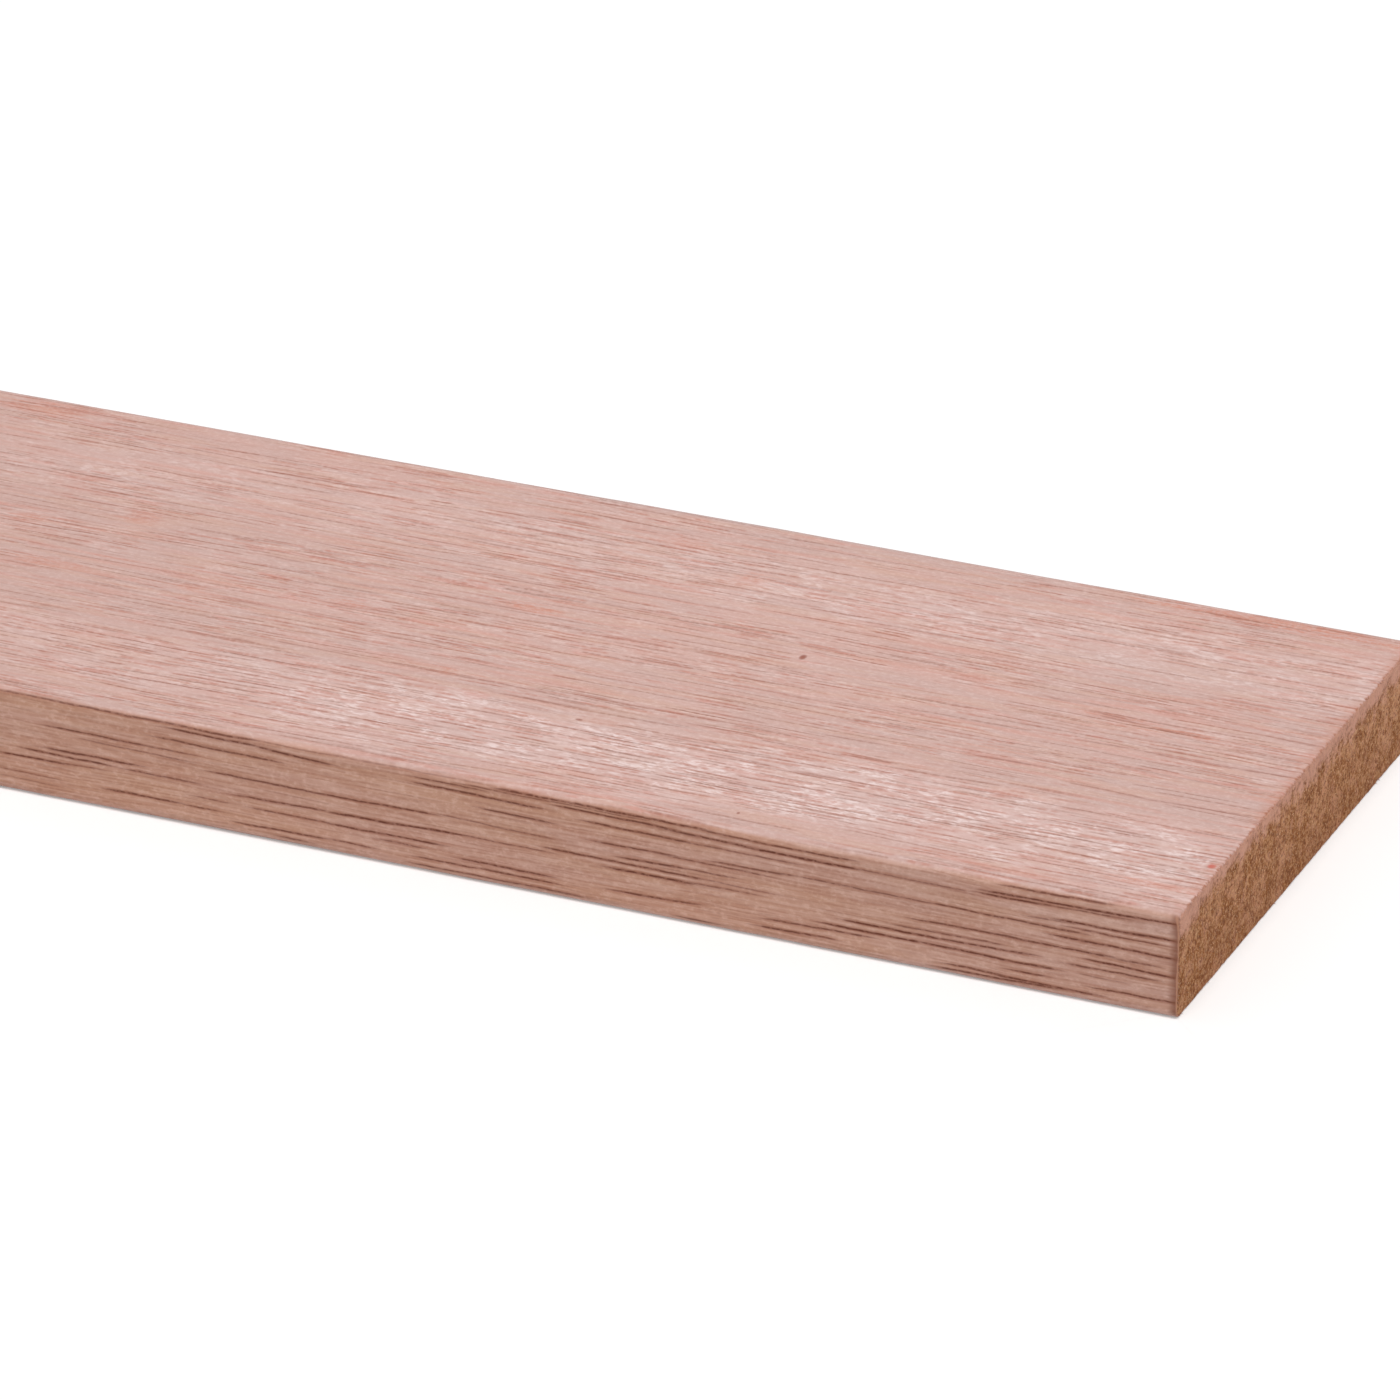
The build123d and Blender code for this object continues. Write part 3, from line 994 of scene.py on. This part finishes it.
        across = n.add(self.z, self.bend)
        kept = n.add(n.times(elsewhere, SECOND_RANGE), SECOND_LEAST)
        self.strong = n.times(self.lines("strong", across), self.mask("groups"), elsewhere)
        self.second = n.times(self.lines("second", across), kept)
        ground = n.mix(self.mask("narrow_ground"), tone(200, 153, 130), tone(200, 156, 140))
        return self.coats(
            ground,
            ("pink_stretch", 1, (204, 168, 158)),
            ("warmth", 0.34, (200, 152, 122)),
            ("streaks", 0.34, (184, 126, 100)),
            ("narrow_cloud", 1, (190, 138, 116)),
            ("narrow_dark", 1, (172, 120, 98)),
            ("narrow_pale", 1, (232, 194, 178)),
            ("narrow_fibre", 1, (222, 182, 166)),
            (self.lines("faint", across), 0.36, (154, 98, 74)),
            (halo, 0.52, (162, 98, 72)),
            (self.second, 0.54, (128, 74, 52)),
            (n.math("MAXIMUM", self.strong, core), 0.98, (94, 40, 18)),
            # Painted shade on the narrow faces just before the broken rim
            (self.toward_end(*NARROW_RIM_SHADE), 0.78, (126, 72, 48)),
        )

    def sawn_ends(self):
        """Pores cut across, with torn fibres between them and a paler upper edge."""
        n = self.n
        waves = n.scaled((self.part("lumps"), 7.0), (self.part("grains"), 4.0), (self.mask("near_rise"), 2.6))
        rise = n.add(self.z, *waves, self.mask("far_rise"))
        ground = n.mix(self.mask("sawn_ground"), tone(192, 130, 92), tone(156, 92, 38))
        return self.coats(
            ground,
            ("dark_lumps", 1, (134, 73, 26)),
            ("pale_lumps", 1, (212, 152, 122)),
            ("pale_grains", 1, (216, 162, 116)),
            ("dark_grains", 1, (112, 57, 20)),
            ("hairs", 0.84, (244, 198, 156)),
            ("pits", 0.70, (92, 50, 24)),
            ("sawn_foot", 1, (120, 66, 20)),
            (n.step(rise, RISE_LOW, RISE_HIGH), 0.68, (226, 169, 150)),
        )

    def colour(self):
        n = self.n
        colour = n.mix(self.narrow, self.wide_faces(), self.narrow_faces())
        # The far upper arris gets painted shade, the wide faces end in a frayed brown edge, and the
        # narrow ones in a painted highlight along the broken rim
        far_arris_shade = n.times(n.times(self.mask("far_side"), self.upper), self.mask("top_edge"))
        singed = n.times(n.times(self.toward_end(*SINGED), self.mask("frays")), n.without(self.narrow))
        # Painted highlight along the broken rim of the narrow faces
        rim_highlight = n.times(self.mask("rim_highlight"), self.narrow)
        colour = self.coats(
            colour,
            (far_arris_shade, 0.45, (172, 154, 152)),
            (singed, 1, (178, 118, 92)),
            (rim_highlight, 0.75, (196, 142, 114)),
        )
        return n.mix(self.mask("sawn"), colour, self.sawn_ends())

    def relief(self):
        """The bump, from the parts that the colour left."""
        n = self.n
        self.hollows = n.add(
            n.times(n.add(self.pores, self.long_pores), n.without(self.narrow)),
            n.times(n.add(self.strong, n.times(self.second, SECOND_HOLLOW)), self.narrow),
        )
        fibre, mottle, grains = (self.part(name) for name in ("fibre", "mottle", "grains"))
        heights = n.scaled((fibre, 0.30), (mottle, 0.30), (self.hollows, -0.8), (self.flecks, 0.25))
        sawn_heights = n.scaled((grains, 2.6), (self.mask("pits"), -1.2), (self.mask("hairs"), 0.9))
        height = n.add(
            n.times(n.add(*heights), n.without(self.end)),
            n.times(n.add(*sawn_heights), self.end),
        )
        inputs = {"Strength": BUMP_STRENGTH, "Distance": BUMP_DISTANCE * MM, "Height": height}
        return n.new("ShaderNodeBump", inputs).outputs[0]

    def gloss(self):
        """The roughness, from the parts that the colour and the relief left."""
        n = self.n
        flecks = n.times(self.flecks, n.without(self.narrow))
        rougher = n.scaled((self.part("fibre"), 0.12), (self.hollows, 0.2), (flecks, -0.08), (self.end, 0.3))
        return n.math("MINIMUM", n.add(PLAIN_ROUGHNESS, *rougher), MOST_ROUGHNESS)


def timber_material():
    material = bpy.data.materials.new("planed_hardwood_timber")
    n = Nodes(material)
    wood = Wood(n)
    shader = n.new("ShaderNodeBsdfPrincipled", {
        "Base Color": wood.colour(),
        "Normal": wood.relief(),
        "Roughness": wood.gloss(),
        "Specular IOR Level": SPECULAR,
    })
    n.new("ShaderNodeOutputMaterial", {"Surface": shader.outputs[0]})
    return material


# The stage: the floor in metres, except for the gap between it and the board, and the
# margins of its opening
FLOOR_REACH = 200.0
FLOOR_GAP = 0.02
OPENING_END_MARGIN, OPENING_SIDE_MARGIN = 2.0, 2.2
FLOOR_TONE = (0.8, 0.8, 0.8, 1.0)
FLOOR_GLOW = 0.26
WORLD_LIGHT, WORLD_SEEN = 0.42, 1.0
KEY_AZIMUTH, KEY_ELEVATION, KEY_STRENGTH, KEY_SPREAD = 26, 72, 1.85, 30
LAMP_DISTANCE = 3


def seen_directly(n):
    """1 for what the camera sees, also in gloss."""
    path = n.new("ShaderNodeLightPath")
    return n.math("MAXIMUM", path.outputs["Is Camera Ray"], path.outputs["Is Glossy Ray"])


def floor_material():
    """Pale floor. To the camera it is white where it is lit, and it keeps the shadow."""
    material = bpy.data.materials.new("studio_floor")
    n = Nodes(material)
    diffuse = n.new("ShaderNodeBsdfDiffuse", {"Color": FLOOR_TONE})
    glow = n.new("ShaderNodeEmission", {"Strength": n.times(seen_directly(n), FLOOR_GLOW)})
    both = n.new("ShaderNodeAddShader", {0: diffuse.outputs[0], 1: glow.outputs[0]})
    n.new("ShaderNodeOutputMaterial", {"Surface": both.outputs[0]})
    return material


def build_stage():
    """The floor. It is open under the middle of the board, so that its underside shows from below."""
    mesh = bpy.data.meshes.new("studio_floor")
    opening = ((END_X - OPENING_END_MARGIN) * MM, (HALF_WIDTH - OPENING_SIDE_MARGIN) * MM)
    corners = []
    for reach_x, reach_y in ((FLOOR_REACH, FLOOR_REACH), opening):
        for side_x, side_y in CORNER_SIDE:
            corners.append((side_x * reach_x, side_y * reach_y, -FLOOR_GAP * MM))
    mesh.from_pydata(corners, [], [(i, (i + 1) % 4, (i + 1) % 4 + 4, i + 4) for i in range(4)])
    mesh.materials.append(floor_material())
    floor = new_object("studio_floor", mesh)


def build_world():
    """White to the camera and in gloss, and a weaker even light on everything."""
    world = bpy.data.worlds.new("studio_white")
    bpy.context.scene.world = world
    n = Nodes(world)
    inputs = {"Value": seen_directly(n), "To Min": WORLD_LIGHT, "To Max": WORLD_SEEN}
    strength = n.new("ShaderNodeMapRange", inputs).outputs[0]
    background = n.new("ShaderNodeBackground", {"Color": (1.0, 1.0, 1.0, 1.0), "Strength": strength})
    n.new("ShaderNodeOutputWorld", {"Surface": background.outputs[0]})


def build_light():
    """A soft distant light. Its azimuth is measured as the camera's, from the front."""
    a, e = math.radians(KEY_AZIMUTH), math.radians(KEY_ELEVATION)
    toward = Vector((math.sin(a) * math.cos(e), -math.cos(a) * math.cos(e), math.sin(e)))
    light = bpy.data.lights.new("key_light", "SUN")
    light.energy = KEY_STRENGTH
    light.angle = math.radians(KEY_SPREAD)
    lamp = new_object("key_light", light)
    lamp.rotation_euler = toward.to_track_quat("Z", "Y").to_euler()
    lamp.location = toward * LAMP_DISTANCE


def build_camera():
    data = bpy.data.cameras.new("photo_camera")
    data.sensor_width = CAMERA_SENSOR
    data.lens = CAMERA_LENS
    data.clip_start = CAMERA_NEAREST
    data.clip_end = CAMERA_FURTHEST
    camera = new_object("photo_camera", data)
    turn = Matrix((CAMERA_RIGHT, CAMERA_UP, CAMERA_BACK)).transposed()
    camera.matrix_world = Matrix.Translation(CAMERA_PLACE) @ turn.to_4x4()
    bpy.context.scene.camera = camera


timber = board_object(build_board())
timber.data.materials.append(timber_material())
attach(timber, "root")
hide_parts("batten")

build_stage()
build_world()
build_light()
build_camera()
bpy.context.scene.view_settings.view_transform = "Standard"
